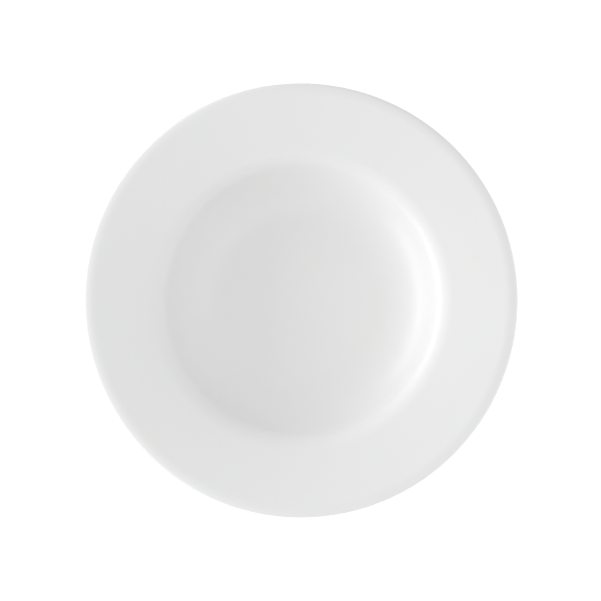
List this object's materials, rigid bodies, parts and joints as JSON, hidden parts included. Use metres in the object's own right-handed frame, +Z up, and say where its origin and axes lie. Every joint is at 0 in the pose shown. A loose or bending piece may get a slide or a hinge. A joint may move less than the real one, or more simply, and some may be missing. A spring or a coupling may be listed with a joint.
{
  "type": "soup plate",
  "caption": "Round white rim soup plate of glazed porcelain, with a deep coved well, a broad rising rim and a foot ring, for serving soup and other wet food.",
  "frame": {"origin": "middle of the circle that the foot ring stands on, in the plane of the table", "axes": "+Z up along the plate's axis of revolution, +X and +Y level in any direction because the plate is round"},
  "size_m": [0.23, 0.23, 0.0366],
  "materials": {
    "biscuit": "matte",
    "glaze": "gloss"
  },
  "bodies": {
    "root": {"porcelain_body": "biscuit", "glaze_coat": "glaze", "base_glaze": "glaze"}
  },
  "joints": []
}
